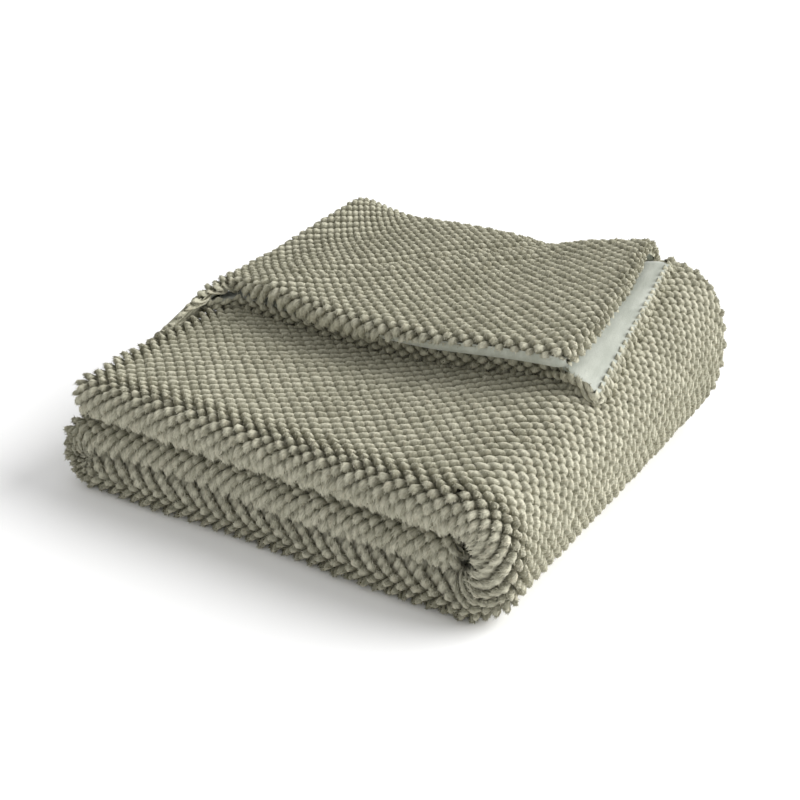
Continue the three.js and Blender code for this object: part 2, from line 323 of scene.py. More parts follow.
def pressed(x, y):
    """How strongly the plies are pressed down towards the left front corner of the flap."""
    reach = 0.070 + 0.5 * np.clip(y, 0.0, 0.150)
    return ease(TOP_END_X + reach, TOP_END_X, x) * (1 - 0.9 * ease(0.0, 0.190, y))


def flattened(x, y):
    """How much the plies are flattened where they turn over at the right end of the back."""
    return ease(0.080, 0.140, x) * ease(0.030, 0.165, y)


def lower_thickness(x, y):
    return LOWER_PLY * (1 - 0.5 * pressed(x, y)) * (1 - 0.3 * flattened(x, y))


def lower_middle(x, y):
    thickness = lower_thickness(x, y)
    return stack_top(x, y) + REST_GAP + thickness / 2, thickness / 2


def upper_middle(x, y):
    thickness = UPPER_PLY * (1 - 0.42 * pressed(x, y)) * (1 - 0.25 * flattened(x, y))
    over_lower = ease(LOWER_LEFT_X - 0.018, LOWER_LEFT_X - 0.003, x)
    ahead = blend(0.026, 0.004, ease(-0.172, -0.188, x))
    over_lower = over_lower * ease(LOWER_HEM_Y - 0.040, LOWER_HEM_Y, y + ahead)
    lower_height = lower_thickness(x, y) + REVERSE_SPACE
    bottom = stack_top(x, y) + REST_GAP + lower_height * over_lower + crease(x, y)
    bottom = bottom - TONGUE_DROOP * ease(-0.182, -0.200, x) * ease(0.030, -0.030, y)
    return bottom + thickness / 2, thickness / 2


# The soft crease that crosses the flap from its left front corner to the back
CREASE_START = (-0.150, -0.034)
CREASE_END = (0.074, 0.192)
CREASE_RIDGE = 0.0022
CREASE_TROUGH = 0.0026


def crease(x, y):
    """Height of the crease, a ridge in front of its line and a trough behind it."""
    along = Vector((CREASE_END[0] - CREASE_START[0], CREASE_END[1] - CREASE_START[1])).normalized()
    distance = (y - CREASE_START[1]) * along.x - (x - CREASE_START[0]) * along.y
    ridge = CREASE_RIDGE * np.exp(-(((distance + 0.010) / 0.013) ** 2))
    trough = -CREASE_TROUGH * np.exp(-(((distance - 0.006) / 0.012) ** 2))
    return (ridge + trough) * ease(-0.19, -0.15, x) * ease(-0.045, -0.015, y)


def upper_left_x(y):
    return blend(UPPER_LEFT_X, UPPER_LEFT_X + 0.012, ease(-0.080, 0.060, y))


def lower_left_x(y):
    return LOWER_LEFT_X + 0 * y


def rounded_corner(x, edge_x, radius):
    """How far a hem draws back where it rounds the corner into a right edge."""
    into = np.clip((x - (edge_x - radius)) / radius, 0.0, 1.0)
    return radius * (1 - np.sqrt(1 - 0.98 * into * into))


def upper_hem(x):
    return upper_hem_at(x) + rounded_corner(x, UPPER_EDGE_FRONT, 0.011)


def lower_hem(x):
    forward = RIGHT_END_FORWARD * ease(0.140, 0.195, x)
    return lower_hem_at(x) + rounded_corner(x, LOWER_EDGE_FRONT, 0.009) - forward


def upper_fold(x):
    """Where the upper ply ends after its turn round the back: the top layer's lower ply."""
    layer = layer_at(np.maximum(x, TOP_END_X), BACK_FOLD_Y)
    half = np.minimum(UPPER_PLY - 0.001, (layer - LAYER_GAP) / 2 - 0.0016) / 2
    return 2 * layer + LAYER_GAP + (layer - LAYER_GAP) / 4, half, BACK_FOLD_REACH - UPPER_PLY / 2


def lower_fold(x):
    """Where the lower ply ends after its turn round the back: the top layer's upper ply."""
    layer = layer_at(np.maximum(x, TOP_END_X), BACK_FOLD_Y)
    half = ((layer - LAYER_GAP) / 2 - 0.0016) / 2
    return 3 * layer - LAYER_GAP / 2 - (layer - LAYER_GAP) / 4, half, INNER_FOLD_REACH - LOWER_PLY / 2


def seam_right_x(y):
    """Where the lower ply's reverse meets the plush that rolls up round its right edge."""
    return lower_right_x(y) - 0.0045 + EDGE_RADIUS


# One ply of the flap: its middle surface, its outline and its turn round the back
Ply = namedtuple("Ply", "middle hem hem_line left_x right_x fold")
UPPER = Ply(upper_middle, upper_hem, upper_hem_line, upper_left_x, upper_right_x, upper_fold)
LOWER = Ply(lower_middle, lower_hem, lower_hem_at, lower_left_x, lower_right_x, lower_fold)
LOWER_REVERSE = Ply(lower_middle, lower_hem, lower_hem_at, lower_left_x, seam_right_x, lower_fold)


def flap_rows(step, left_turn, right_turn):
    """Row specs from the left edge to the right: a free edge's turn, or a share of the width."""
    rows = [("left", t) for t in spread(left_turn, 0.0, step / EDGE_RADIUS)[:-1]]
    rows += [("inner", s) for s in spread(0.0, 1.0, step / FLAP_WIDTH)]
    rows += [("right", t) for t in spread(0.0, right_turn, step / EDGE_RADIUS)[1:]]
    return rows


def flap_columns(step, hem_turn, fold_step):
    """Column specs from the hem to the back: a share of the hem's turn, of the depth, an angle."""
    columns = [("hem", t) for t in spread(1.0, 0.0, step / EDGE_RADIUS / hem_turn)[:-1]]
    columns += [("flat", s) for s in spread(0.0, 1.0, step / FLAP_DEPTH)]
    columns += [("fold", a) for a in spread(math.pi / 2, -math.pi / 2, fold_step)[1:]]
    return columns


def place_in_row(kind, value, left, right):
    """x on a row of the flap: at a share of its width, or on the turn of a side edge."""
    if kind == "inner":
        return blend(left, right, value)
    swing = EDGE_RADIUS * math.sin(value)
    return left - swing if kind == "left" else right + swing


def flap_grid(ply, side, rows, columns, hem_turn, lift=0.0):
    """Points of one face of a flap ply, 1 for its upper and -1 for its under face.

    The hem's turn is a function of x, and the face stands off the ply's own by a lift.
    """
    shape = (len(rows), len(columns))
    points, outward = np.zeros(shape + (3,)), np.zeros(shape + (3,))
    run, across = np.zeros(shape), np.zeros(shape)
    kinds = np.array([c[0] for c in columns])
    values = np.array([c[1] for c in columns])
    is_hem, is_fold = kinds == "hem", kinds == "fold"
    front = np.array(UPPER_HEM_Y)
    left_front = float(ply.left_x(front)) + EDGE_RADIUS
    right_front = float(ply.right_x(front)) - EDGE_RADIUS
    for r, (kind, value) in enumerate(rows):
        sign = {"left": -1, "inner": 0, "right": 1}[kind]
        turn = value if sign else 0.0
        nominal = place_in_row(kind, value, left_front, right_front)
        first = float(ply.hem(np.array(nominal))) + EDGE_RADIUS
        last = BACK_FOLD_Y
        y = np.where(is_hem, first, np.where(is_fold, last, first + values * (last - first)))
        left, right = ply.left_x(y) + EDGE_RADIUS, ply.right_x(y) - EDGE_RADIUS
        x = place_in_row(kind, value, left, right)
        slope = sign * math.sin(turn)
        edge = left if kind == "left" else right
        run_row = edge + sign * turn * EDGE_RADIUS if sign else x
        center, half = ply.middle(x, y)
        half = half + lift
        cosine = math.cos(turn)
        angle_hem = np.where(is_hem, values * hem_turn(x), 0.0)
        place_y = y - EDGE_RADIUS * np.sin(angle_hem)
        place_z = center + side * half * np.cos(angle_hem) * cosine
        out_y = -np.sin(angle_hem)
        out_z = side * np.cos(angle_hem) * cosine
        across_row = y - EDGE_RADIUS * angle_hem
        tail_z, tail_half, reach = ply.fold(x)
        angle = np.where(is_fold, values, math.pi / 2)
        middle_z, rise = (center + tail_z) / 2, (center - tail_z) / 2
        grown = side * blend(half, tail_half + lift, (1 - np.sin(angle)) / 2) * cosine
        place_y = np.where(is_fold, last + (reach + grown) * np.cos(angle), place_y)
        place_z = np.where(is_fold, middle_z + (rise + grown) * np.sin(angle), place_z)
        out_y = np.where(is_fold, side * np.cos(angle), out_y)
        out_z = np.where(is_fold, side * np.sin(angle) * cosine, out_z)
        arc = (math.pi / 2 - angle) * mean_radius(reach + grown, rise + grown)
        points[r] = np.stack([x, place_y, place_z], axis=-1)
        outward[r] = np.stack([slope + 0 * x, out_y, out_z], axis=-1)
        # The cloth is longer than it is wide in plan where it hangs over the left end
        hang = TONGUE_HANG * ease(-0.184, -0.204, x)
        run[r] = run_row - ply.right_x(y) + ply.right_x(front) - hang
        across[r] = np.where(is_fold, last + arc, across_row) - ply.hem_line(x)
    return drawn_in(points), outward, run, across


# Tufts of the plush, a diamond lattice in the cloth's own coordinates

# Places across one tuft from groove to groove, closest together by the grooves
SHOWN_PLACES = np.array([-0.5, -0.42, -0.24, 0.0, 0.24, 0.42, 0.5])
UNDER_PLACES = np.array([-0.5, -0.22, 0.22, 0.5])
INSIDE_PLACES = np.array([-0.5, 0.0, 0.5])

LOCATE_STEPS = 10

# A place that misses the cloth by less than this lies on it
ON_CLOTH = 1e-5

# How squarely a pad fills its cell up to the grooves
PAD_SQUARENESS = 4.0

# How deep the ground lies under the faces of the plies
GROUND_DEPTH = 0.0048


def scatter(a, b, salt):
    """A fixed pseudo-random number from 0 to 1 for each cell of the lattice."""
    return np.modf(np.abs(np.sin(a * 127.1 + b * 311.7 + salt * 74.7) * 43758.5453))[0]


def unit(vectors):
    length = np.linalg.norm(vectors, axis=-1, keepdims=True)
    return vectors / np.maximum(length, 1e-12)


def facing_with(vectors, guide):
    """Vectors turned round where they point away from their guide."""
    return np.where((vectors * guide).sum(-1, keepdims=True) < 0, -vectors, vectors)


class Cloth:
    """A smooth patch of cloth that gives places and directions by its own run and across."""

    def __init__(self, grid):
        self.points, outward, self.run, self.across = grid
        self.along = unit(np.gradient(self.points, axis=0))
        self.aside = unit(np.gradient(self.points, axis=1))
        normal = facing_with(unit(np.cross(self.along, self.aside)), outward)
        flat = np.linalg.norm(normal, axis=-1, keepdims=True) < 0.5
        self.normal = unit(np.where(flat, outward, normal * 0.8 + unit(outward) * 0.2))

    def cell(self, row, column):
        """The grid cell of fractional rows and columns, and the shares inside it."""
        rows, columns = self.run.shape
        i = np.clip(np.floor(row), 0, rows - 2).astype(int)
        j = np.clip(np.floor(column), 0, columns - 2).astype(int)
        return i, j, row - i, column - j

    def between(self, values, row, column):
        """Values of the grid at fractional rows and columns."""
        i, j, s, t = self.cell(row, column)
        if values.ndim > 2:
            s, t = s[..., None], t[..., None]
        return between_corners(self.corners(values, i, j), s, t)

    @staticmethod
    def corners(values, i, j):
        return values[i, j], values[i + 1, j], values[i, j + 1], values[i + 1, j + 1]

    def locate(self, run, across):
        """Fractional rows and columns of cloth coordinates, and how far off the cloth they lie."""
        rows, columns = self.run.shape
        row = np.interp(run, self.run[:, columns // 2], np.arange(rows))
        column = np.interp(across, self.across[rows // 2], np.arange(columns))
        for _ in range(LOCATE_STEPS):
            i, j, s, t = self.cell(row, column)
            miss, slopes = [], []
            for target, values in ((run, self.run), (across, self.across)):
                one, two, three, four = corners = self.corners(values, i, j)
                slopes += [blend(two - one, four - three, t), blend(three - one, four - two, s)]
                miss.append(target - between_corners(corners, s, t))
            size = slopes[0] * slopes[3] - slopes[1] * slopes[2]
            size = np.where(np.abs(size) < 1e-12, 1e-12, size)
            step_row = (miss[0] * slopes[3] - miss[1] * slopes[1]) / size
            step_column = (miss[1] * slopes[0] - miss[0] * slopes[2]) / size
            row = np.clip(row + np.clip(step_row, -9, 9), 0, rows - 1)
            column = np.clip(column + np.clip(step_column, -9, 9), 0, columns - 1)
        return row, column, np.hypot(*miss)


def no_skew(u):
    return 0 * u


def strip_skew(u):
    """How the tuft rows run askew on the strip, one way on the top and the other past the loop."""
    return 0.10 * np.sqrt((u - 0.36) ** 2 + 0.04**2)


def lattice_place(a, b, look, skew):
    """Run and across of a place on the lattice, whose rows drift a little as they go."""
    u, v = look.tuft_run * (a + b) / 2, look.tuft_across * (a - b) / 2
    run = u + 0.0008 * np.sin(v / 0.031 + u / 0.057) + 0.0005 * np.sin(u / 0.013 + v / 0.019)
    across = v + 0.0008 * np.sin(u / 0.027 + v / 0.071) + 0.0005 * np.sin(v / 0.012 - u / 0.021)
    return run, across + skew(u)


class Tufts:
    """The tufts on a patch of cloth: each a soft pad that leans the way the pile lies."""

    def __init__(self, cloth, look, places, wanted, skew, openness_of, lean, height):
        self.places = places
        self.lean = lean
        self.cell_a, self.cell_b = self.cells(cloth, look, wanted, skew)
        in_a, in_b = places[None, :, None], places[None, None, :]
        a, b = self.cell_a[:, None, None] + 0.5 + in_a, self.cell_b[:, None, None] + 0.5 + in_b
        self.run, self.across = lattice_place(a, b, look, skew)
        row, column, self.off = cloth.locate(self.run, self.across)
        directions = (cloth.normal, cloth.along, cloth.aside)
        self.normal, self.along, self.aside = (unit(cloth.between(d, row, column)) for d in directions)
        base = cloth.between(cloth.points, row, column)
        self.openness = openness_of(base, self.run, self.across)
        # On the right loop the pads step down the loop, elsewhere towards the front
        self.turned = np.clip(0.8 * self.normal[..., 0], 0.0, 1.0)
        # The open tufts lie aslant, one way on the bottom roll and the other way above it
        self.slant = blend(-0.30, 0.30, ease(0.034, 0.048, base[..., 2]))
        self.points = base + self.displacement(in_a, in_b, height)
        self.points[..., 2] = np.maximum(self.points[..., 2], 0.0)

    def cells(self, cloth, look, wanted, skew):
        """Cell numbers of the tufts that lie on the cloth where they are wanted."""
        one = cloth.run / look.tuft_run + cloth.across / look.tuft_across
        two = cloth.run / look.tuft_run - cloth.across / look.tuft_across
        ranges = [np.arange(math.floor(v.min()) - 9, math.ceil(v.max()) + 10) for v in (one, two)]
        cell_a, cell_b = (grid.ravel().astype(float) for grid in np.meshgrid(*ranges, indexing="ij"))
        run, across = lattice_place(cell_a + 0.5, cell_b + 0.5, look, skew)
        near, margin = True, look.tuft_run
        for place, extent in ((run, cloth.run), (across, cloth.across)):
            near = near & (place > extent.min() - margin) & (place < extent.max() + margin)
        cell_a, cell_b, run, across = (values[near] for values in (cell_a, cell_b, run, across))
        row, column, off = cloth.locate(run, across)
        place = cloth.between(cloth.points, row, column)
        keep = (off < look.tuft_across / 2) & wanted(place, run, across)
        return cell_a[keep], cell_b[keep]

    def displacement(self, in_a, in_b, height):
        """How the pads stand off the cloth, and their dome and the painted shade that darkens their
        colours.
        """
        cell_a, cell_b = self.cell_a[:, None, None], self.cell_b[:, None, None]
        openness, turned = self.openness, self.turned
        near_a, near_b = np.abs(2 * in_a), np.abs(2 * in_b)
        side_a, side_b = near_a**PAD_SQUARENESS, near_b**PAD_SQUARENESS
        pad = ((1 - blend(0.75, 1.0, turned) * side_a) * (1 - blend(1.0, 0.70, turned) * side_b)) ** 0.45
        along, aside = in_a + in_b, in_a - in_b
        off_run = along + 0.16 * (scatter(cell_a, cell_b, 9) - 0.5)
        off_across = aside + 0.16 * (scatter(cell_a, cell_b, 10) - 0.5)
        leaf_round = ((off_run + self.slant * off_across) / 0.56) ** 2 + (off_across / 0.96) ** 2
        self.dome = blend(pad, np.clip(1 - leaf_round, 0.0, 1.0) ** 0.55, openness)
        # Painted shade for the colours: darker on each tuft's front face, and at its back, where it
        # sinks under its neighbour, most on the open tufts
        front_a = blend(blend(1.3, 2.0, turned), 2.0, openness)
        front_b = blend(blend(2.0, 1.1, turned), 2.0, openness)
        front = np.maximum(-front_a * in_a, front_b * in_b)
        edge = np.maximum(near_a, near_b)
        seam = blend(blend(near_b, near_a, turned), edge, openness)
        back = np.clip(np.maximum(2 * in_a, -1.4 * in_b), 0.0, 1.0)
        under = blend(0.10, 0.60, openness) * back ** blend(4.0, 2.0, openness)
        self.shade = np.maximum(np.clip(front, 0.0, 1.0) ** 3, under) + 0 * self.dome
        tall = 0.80 + 0.40 * scatter(cell_a, cell_b, 1)
        sway_run = scatter(cell_a, cell_b, 2) - 0.5
        sway_across = scatter(cell_a, cell_b, 3) - 0.5
        leaf = along * self.lean[0] + aside * self.lean[1]
        stepped = blend(2.0 * in_b - 0.3 * in_a, 0.5 * in_b - 1.8 * in_a, turned)
        toward = blend(stepped, leaf, openness)
        tilt = sway_run * along + sway_across * aside
        lean_in = 1 + blend(0.80, 1.10, openness) * toward + 0.4 * tilt
        lift = height * blend(0.75, 1.50, openness) * tall * self.dome * lean_in
        lift = lift - blend(0.0020, 0.0042, openness) * (0.6 * seam**6 + 0.4 * side_a * side_b)
        push = blend(0.0005, 0.0034, openness) * self.dome * (0.5 + 0.5 * np.clip(toward, 0.0, 1.0))
        key_a, key_b = np.round((cell_a + in_a) * 100), np.round((cell_b + in_b) * 100)
        fuzz = [scatter(key_a, key_b, salt) - 0.5 for salt in (4, 6, 7)]
        rough = blend(0.0008, 0.0011, openness) * (0.25 + 0.75 * self.dome)
        lift = np.maximum(lift - 0.0008, -0.0040) + rough * fuzz[0]
        move_run = push * (self.lean[0] + 0.55 * sway_run) + rough * fuzz[1]
        move_across = push * (self.lean[1] + 0.35 * sway_across) + rough * fuzz[2]
        shift = self.along * move_run[..., None] + self.aside * move_across[..., None]
        return self.normal * lift[..., None] + shift


# Meshes


def add_attribute(mesh, name, domain, values):
    layer = mesh.attributes.new(name, "FLOAT", domain)
    layer.data.foreach_set("value", np.ascontiguousarray(values, dtype=np.float32).ravel())


def new_mesh(name, vertices, faces):
    """A smooth-shaded mesh of faces that all have the same number of corners."""
    mesh = bpy.data.meshes.new(name)
    corners = faces.shape[1]
    mesh.vertices.add(len(vertices))
    mesh.vertices.foreach_set("co", vertices.astype(np.float32).ravel())
    mesh.loops.add(faces.size)
    mesh.loops.foreach_set("vertex_index", faces.astype(np.int32).ravel())
    mesh.polygons.add(len(faces))
    mesh.polygons.foreach_set("loop_start", np.arange(0, faces.size, corners, dtype=np.int32))
    mesh.polygons.foreach_set("use_smooth", np.ones(len(faces), dtype=bool))
    return mesh


def add_cloth_map(mesh, faces, run, across):
    layer = mesh.uv_layers.new(name="Cloth")
    uvs = np.stack([run, across], axis=-1)[faces.ravel()]
    layer.data.foreach_set("uv", uvs.astype(np.float32).ravel())


def add_piece(mesh, material, node):
    mesh.update(calc_edges=True)
    mesh.materials.append(material)
    piece = bpy.data.objects.new(mesh.name, mesh)
    bpy.context.scene.collection.objects.link(piece)
    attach(piece, "root")
    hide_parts(node)
    return piece


def quads_of(index):
    """Faces between neighbouring rows and columns of numbered points."""
    ring = [index[..., :-1, :-1], index[..., 1:, :-1], index[..., 1:, 1:], index[..., :-1, 1:]]
    return np.stack(ring, axis=-1).reshape(-1, 4)


def tufted_piece(name, tufts, material):
    """One mesh object of tufts that share the grooves between them."""
    steps = len(tufts.places) - 1
    index = np.arange(steps + 1)
    key_a = tufts.cell_a[:, None, None] * steps + index[None, :, None]
    key_b = tufts.cell_b[:, None, None] * steps + index[None, None, :]
    keys = (key_a * 1e6 + key_b).ravel()
    _, first, order = np.unique(keys, return_index=True, return_inverse=True)
    faces = quads_of(order.reshape(tufts.run.shape))
    owner = np.repeat(np.arange(len(tufts.cell_a)), steps * steps)
    vertices = tufts.points.reshape(-1, 3)[first]
    on_cloth = (tufts.off.ravel()[first] < ON_CLOTH)[faces].any(axis=1)
    faces, owner = faces[on_cloth], owner[on_cloth]
    corner = vertices[faces]
    facing = np.cross(corner[:, 2] - corner[:, 0], corner[:, 3] - corner[:, 1])
    if (facing * tufts.normal.reshape(-1, 3)[first][faces[:, 0]]).sum() < 0:
        faces = faces[:, ::-1]
    mesh = new_mesh(name, vertices, faces)
    add_cloth_map(mesh, faces, tufts.run.ravel()[first], tufts.across.ravel()[first])
    add_attribute(mesh, "dome", "POINT", tufts.dome.ravel()[first])
    add_attribute(mesh, "shade", "POINT", tufts.shade.ravel()[first])
    add_attribute(mesh, "own", "FACE", scatter(tufts.cell_a, tufts.cell_b, 8)[owner])
    return add_piece(mesh, material, "plush_face")


def thinned(grid, step):
    """Every few rows and columns of a grid, with its last ones."""
    rows, columns = (np.unique([*range(0, count, step), count - 1]) for count in grid[2].shape)
    return [part[rows][:, columns] for part in grid]


def smooth_piece(name, grids, material, node):
    """One mesh object of a smooth sheet from grids of points; its flat area is added up but not used."""
    parts = []
    start, area = 0, 0.0
    for points, outward, run, across in grids:
        quad = quads_of(start + np.arange(run.size).reshape(run.shape))
        one = points[1:, 1:] - points[:-1, :-1]
        two = points[:-1, 1:] - points[1:, :-1]
        area += float(np.linalg.norm(np.cross(one, two), axis=-1).sum() / 2)
        if (np.cross(one, two) * outward[:-1, :-1]).sum() < 0:
            quad = quad[:, ::-1]
        parts.append((points.reshape(-1, 3), run.ravel(), across.ravel(), quad))
        start += run.size
    vertices, runs, acrosses, quads = (np.concatenate(part) for part in zip(*parts))
    mesh = new_mesh(name, vertices, quads)
    add_cloth_map(mesh, quads, runs, acrosses)
    piece = add_piece(mesh, material, node)


def ground_piece(name, cloth, step, material):
    """The ground that the tufts stand on: the cloth itself, down in the grooves between them."""
    points = cloth.points - GROUND_DEPTH * cloth.normal
    points[..., 2] = np.maximum(points[..., 2], 0.0)
    grid = thinned((points, cloth.normal, cloth.run, cloth.across), step)
    smooth_piece(name, [grid], material, "plush_face")


# The pile's locks


def pile_piece(name, tufts, count, material, generator):
    """One mesh object of fur on the tufts, each lock a triangle of a shade of its own."""
    points = tufts.points
    one = points[:, 1:, 1:] - points[:, :-1, :-1]
    two = points[:, 1:, :-1] - points[:, :-1, 1:]
    facing = facing_with(np.cross(one, two), tufts.normal[:, :-1, :-1])
    calm = (1 - 0.5 * (tufts.shade[:, 1:, 1:] + tufts.shade[:, :-1, :-1])) ** 2
    weight = np.linalg.norm(facing, axis=-1) * calm * (0.3 + 0.7 * tufts.openness[:, 1:, 1:])
    weight = weight * (tufts.off[:, 1:, 1:] < ON_CLOTH)
    pick = generator.choice(weight.size, count, p=weight.ravel() / weight.sum())
    cell, i, j = np.unravel_index(pick, weight.shape)
    s, t = generator.random(count), generator.random(count)

    def between(values):
        share_s, share_t = (s[:, None], t[:, None]) if values.ndim > 3 else (s, t)
        near = values[cell, i, j], values[cell, i + 1, j]
        far = values[cell, i, j + 1], values[cell, i + 1, j + 1]
        return between_corners(near + far, share_s, share_t)

    place, openness = between(points), between(tufts.openness)[:, None]
    up = unit(between(tufts.normal) + 0.7 * unit(facing)[cell, i, j])
    noise = generator.normal(0.0, 1.0, (count, 3))
    way = between(tufts.along) * (tufts.lean[0] + 0.30 * noise[:, :1])
    way = way + between(tufts.aside) * (tufts.lean[1] + 0.30 * noise[:, 1:2])
    way = unit(way + up * (blend(0.45, 0.50, openness) + 0.25 * noise[:, 2:3]))
    length = blend(0.0015, 0.0030, openness) * (0.6 + 0.8 * generator.random((count, 1)))
    side = unit(np.cross(way, up)) * blend(0.00038, 0.00045, openness)
    root = place - up * 0.0004
    corners = np.stack([root - side, root + side, root + way * length], axis=1).reshape(-1, 3)
    corners[:, 2] = np.maximum(corners[:, 2], 0.0)
    face = facing_with(unit(np.cross(side, way)), up)
    shading = np.repeat(unit(up + 0.6 * face), 3, axis=0)
    faces = np.arange(count * 3).reshape(-1, 3)
    mesh = new_mesh(name, corners, faces)
    parts = (tufts.run, tufts.across, tufts.dome, tufts.shade)
    run, across, dome, shade = (np.repeat(between(values), 3) for values in parts)
    add_cloth_map(mesh, faces, run, across)
    # Painted shade: a lock is darker at its root than at its tip, and takes half the painted shade of
    # its place on the tuft
    dome = dome.reshape(-1, 3) + np.array([0.0, 0.0, 0.35])
    add_attribute(mesh, "dome", "POINT", np.clip(dome, 0.0, 1.0))
    add_attribute(mesh, "shade", "POINT", shade * 0.5)
    own = 0.3 * scatter(tufts.cell_a[cell], tufts.cell_b[cell], 8) + 1.4 * generator.random(count) - 0.35
    add_attribute(mesh, "own", "FACE", own)
    piece = add_piece(mesh, material, "plush_face")
    mesh.normals_split_custom_set_from_vertices(shading.tolist())
    return piece


# Materials


class Socket:
    """A shader socket that can be used in an expression, so a formula adds its Math nodes."""

    def __init__(self, tree, link):
        self.tree = tree
        self.link = link

    def node(self, kind, settings=None, output=0, **values):
        """Adds a node with its settings and socket values or links, and gives one output."""
        node = self.tree.nodes.new(kind)
        for key, value in (settings or {}).items():
            setattr(node, key, value)
        for key, value in values.items():
            name = int(key[1:]) if key[0] == "_" else key.replace("_", " ")
            plug = node.inputs[name]
            if isinstance(value, Socket):
                self.tree.links.new(value.link, plug)
            else:
                plug.default_value = value
        return Socket(self.tree, node.outputs[output])

    def math(self, operation, other):
        return self.node("ShaderNodeMath", {"operation": operation}, _0=self, _1=other)

    def __add__(self, other):
        return self.math("ADD", other)

    def __sub__(self, other):
        return self.math("SUBTRACT", other)

    def __mul__(self, other):
        return self.math("MULTIPLY", other)


def new_material(name):
    material = bpy.data.materials.new(name)
    material.use_nodes = True
    tree = material.node_tree
    shader = next(node for node in tree.nodes if node.type == "BSDF_PRINCIPLED")
    return material, tree, shader


def mixed(tool, factor, one, two):
    settings = {"data_type": "RGBA", "blend_type": "MIX"}
    return tool.node("ShaderNodeMix", settings, output=2, _0=factor, _6=one, _7=two)


def cloth_coordinates(tree):
    tool = Socket(tree, None)
    uv = tool.node("ShaderNodeUVMap", {"uv_map": "Cloth"})
    run = tool.node("ShaderNodeSeparateXYZ", None, output=0, Vector=uv)
    across = tool.node("ShaderNodeSeparateXYZ", None, output=1, Vector=uv)
    return tool, run, across


def stretched(tool, run, across, run_scale, across_scale):
    """Cloth coordinates scaled apart, so a noise on them makes strands."""
    return tool.node("ShaderNodeCombineXYZ", None, X=run * run_scale, Y=across * across_scale, Z=0.0)


def noise(tool, place, detail, roughness=0.5):
    """A flat noise on cloth coordinates that are scaled already."""
    values = {"Vector": place, "Scale": 1.0, "Detail": detail, "Roughness": roughness}
    return tool.node("ShaderNodeTexNoise", {"noise_dimensions": "2D"}, **values)


def ramp(tool, value, start, end, settings=None):
    """Rises from 0 to 1 while a value goes from start to end."""
    return tool.node("ShaderNodeMapRange", settings, Value=value, From_Min=start, From_Max=end)


def finish_surface(tree, shader, color, bump, roughness, specular, sheen, sheen_roughness):
    """Links a cloth's colour and bump, and sets how it shines."""
    tree.links.new(color.link, shader.inputs["Base Color"])
    tree.links.new(bump.link, shader.inputs["Normal"])
    shader.inputs["Roughness"].default_value = roughness
    shader.inputs["Specular IOR Level"].default_value = specular
    shader.inputs["Sheen Weight"].default_value = sheen
    shader.inputs["Sheen Roughness"].default_value = sheen_roughness


def plush_material(look):
    """Fuzzy tufted plush: painted shade darkens the grooves between the tufts and the tufts' front faces
    and roots, and each tuft is a little its own tone.
    """
    material, tree, shader = new_material("Plush")
    tool, run, across = cloth_coordinates(tree)
    dome, shade, own = (
        tool.node("ShaderNodeAttribute", {"attribute_name": name}, output=2)
        for name in ("dome", "shade", "own")
    )
    # Painted shade down in the grooves, where a tuft's dome falls away
    groove_shade = ramp(tool, dome, 0.55, 0.0, {"interpolation_type": "SMOOTHSTEP"})
    along = run * 0.3 + across * 0.95
    aside = run * 0.95 - across * 0.3
    strands = noise(tool, stretched(tool, along, aside, 260.0, 800.0), 3.0, 0.65)
    clumps = noise(tool, stretched(tool, along, aside, 180.0, 480.0), 2.0, 0.6)
    broad = noise(tool, stretched(tool, run, across, 9.0, 9.0), 2.0)
    pile = mixed(tool, own * 0.45 + broad * 0.45, (*look.pile_dark, 1), (*look.pile_light, 1))
    warm = ramp(tool, clumps, 0.56, 0.74)
    pile = mixed(tool, warm * 0.5, pile, (*look.pile_warm, 1))
    # The fine dark between the strands, partly the fibres' own grain and partly painted shade, in the
    # groove shade's colour
    between = ramp(tool, strands, 0.5, 0.36)
    pile = mixed(tool, between * 0.42, pile, (*look.groove_shade, 1))
    # Painted shade: the groove shade and the shade on the tufts' front faces and roots darken the pile's
    # colour
    color = mixed(tool, groove_shade * 0.35 + shade * 0.75, pile, (*look.groove_shade, 1))
    height = strands * 0.55 + clumps * 0.9
    bump = tool.node("ShaderNodeBump", None, Height=height, Strength=0.8, Distance=0.0011)
    finish_surface(tree, shader, color, bump, 0.95, 0.15, 0.35, 0.5)
    shader.inputs["Sheen Tint"].default_value = (*look.pile_light, 1)
    return material


def reverse_material(look):
    """Smooth short velvet with a soft sheen and brushed patches."""
    material, tree, shader = new_material("SmoothReverse")
    tool, run, across = cloth_coordinates(tree)
    nap = noise(tool, stretched(tool, run, across, 60.0, 22.0), 4.0, 0.6)
    grain = noise(tool, stretched(tool, run, across, 900.0, 650.0), 2.0)
    patch = ramp(tool, nap, 0.36, 0.66)
    color = mixed(tool, patch * 0.55 + grain * 0.45, (*look.reverse_dark, 1), (*look.reverse_light, 1))
    bump = tool.node("ShaderNodeBump", None, Height=grain + nap * 1.5, Strength=0.35, Distance=0.0005)
    finish_surface(tree, shader, color, bump, 0.55, 0.35, 0.6, 0.35)
    return material


def length_setting(name, description, default):
    return bpy.props.FloatProperty(name=name, description=description, default=default, unit="LENGTH")


def color_setting(name, description, default):
    return bpy.props.FloatVectorProperty(
        name=name, description=description, default=default, subtype="COLOR"
    )


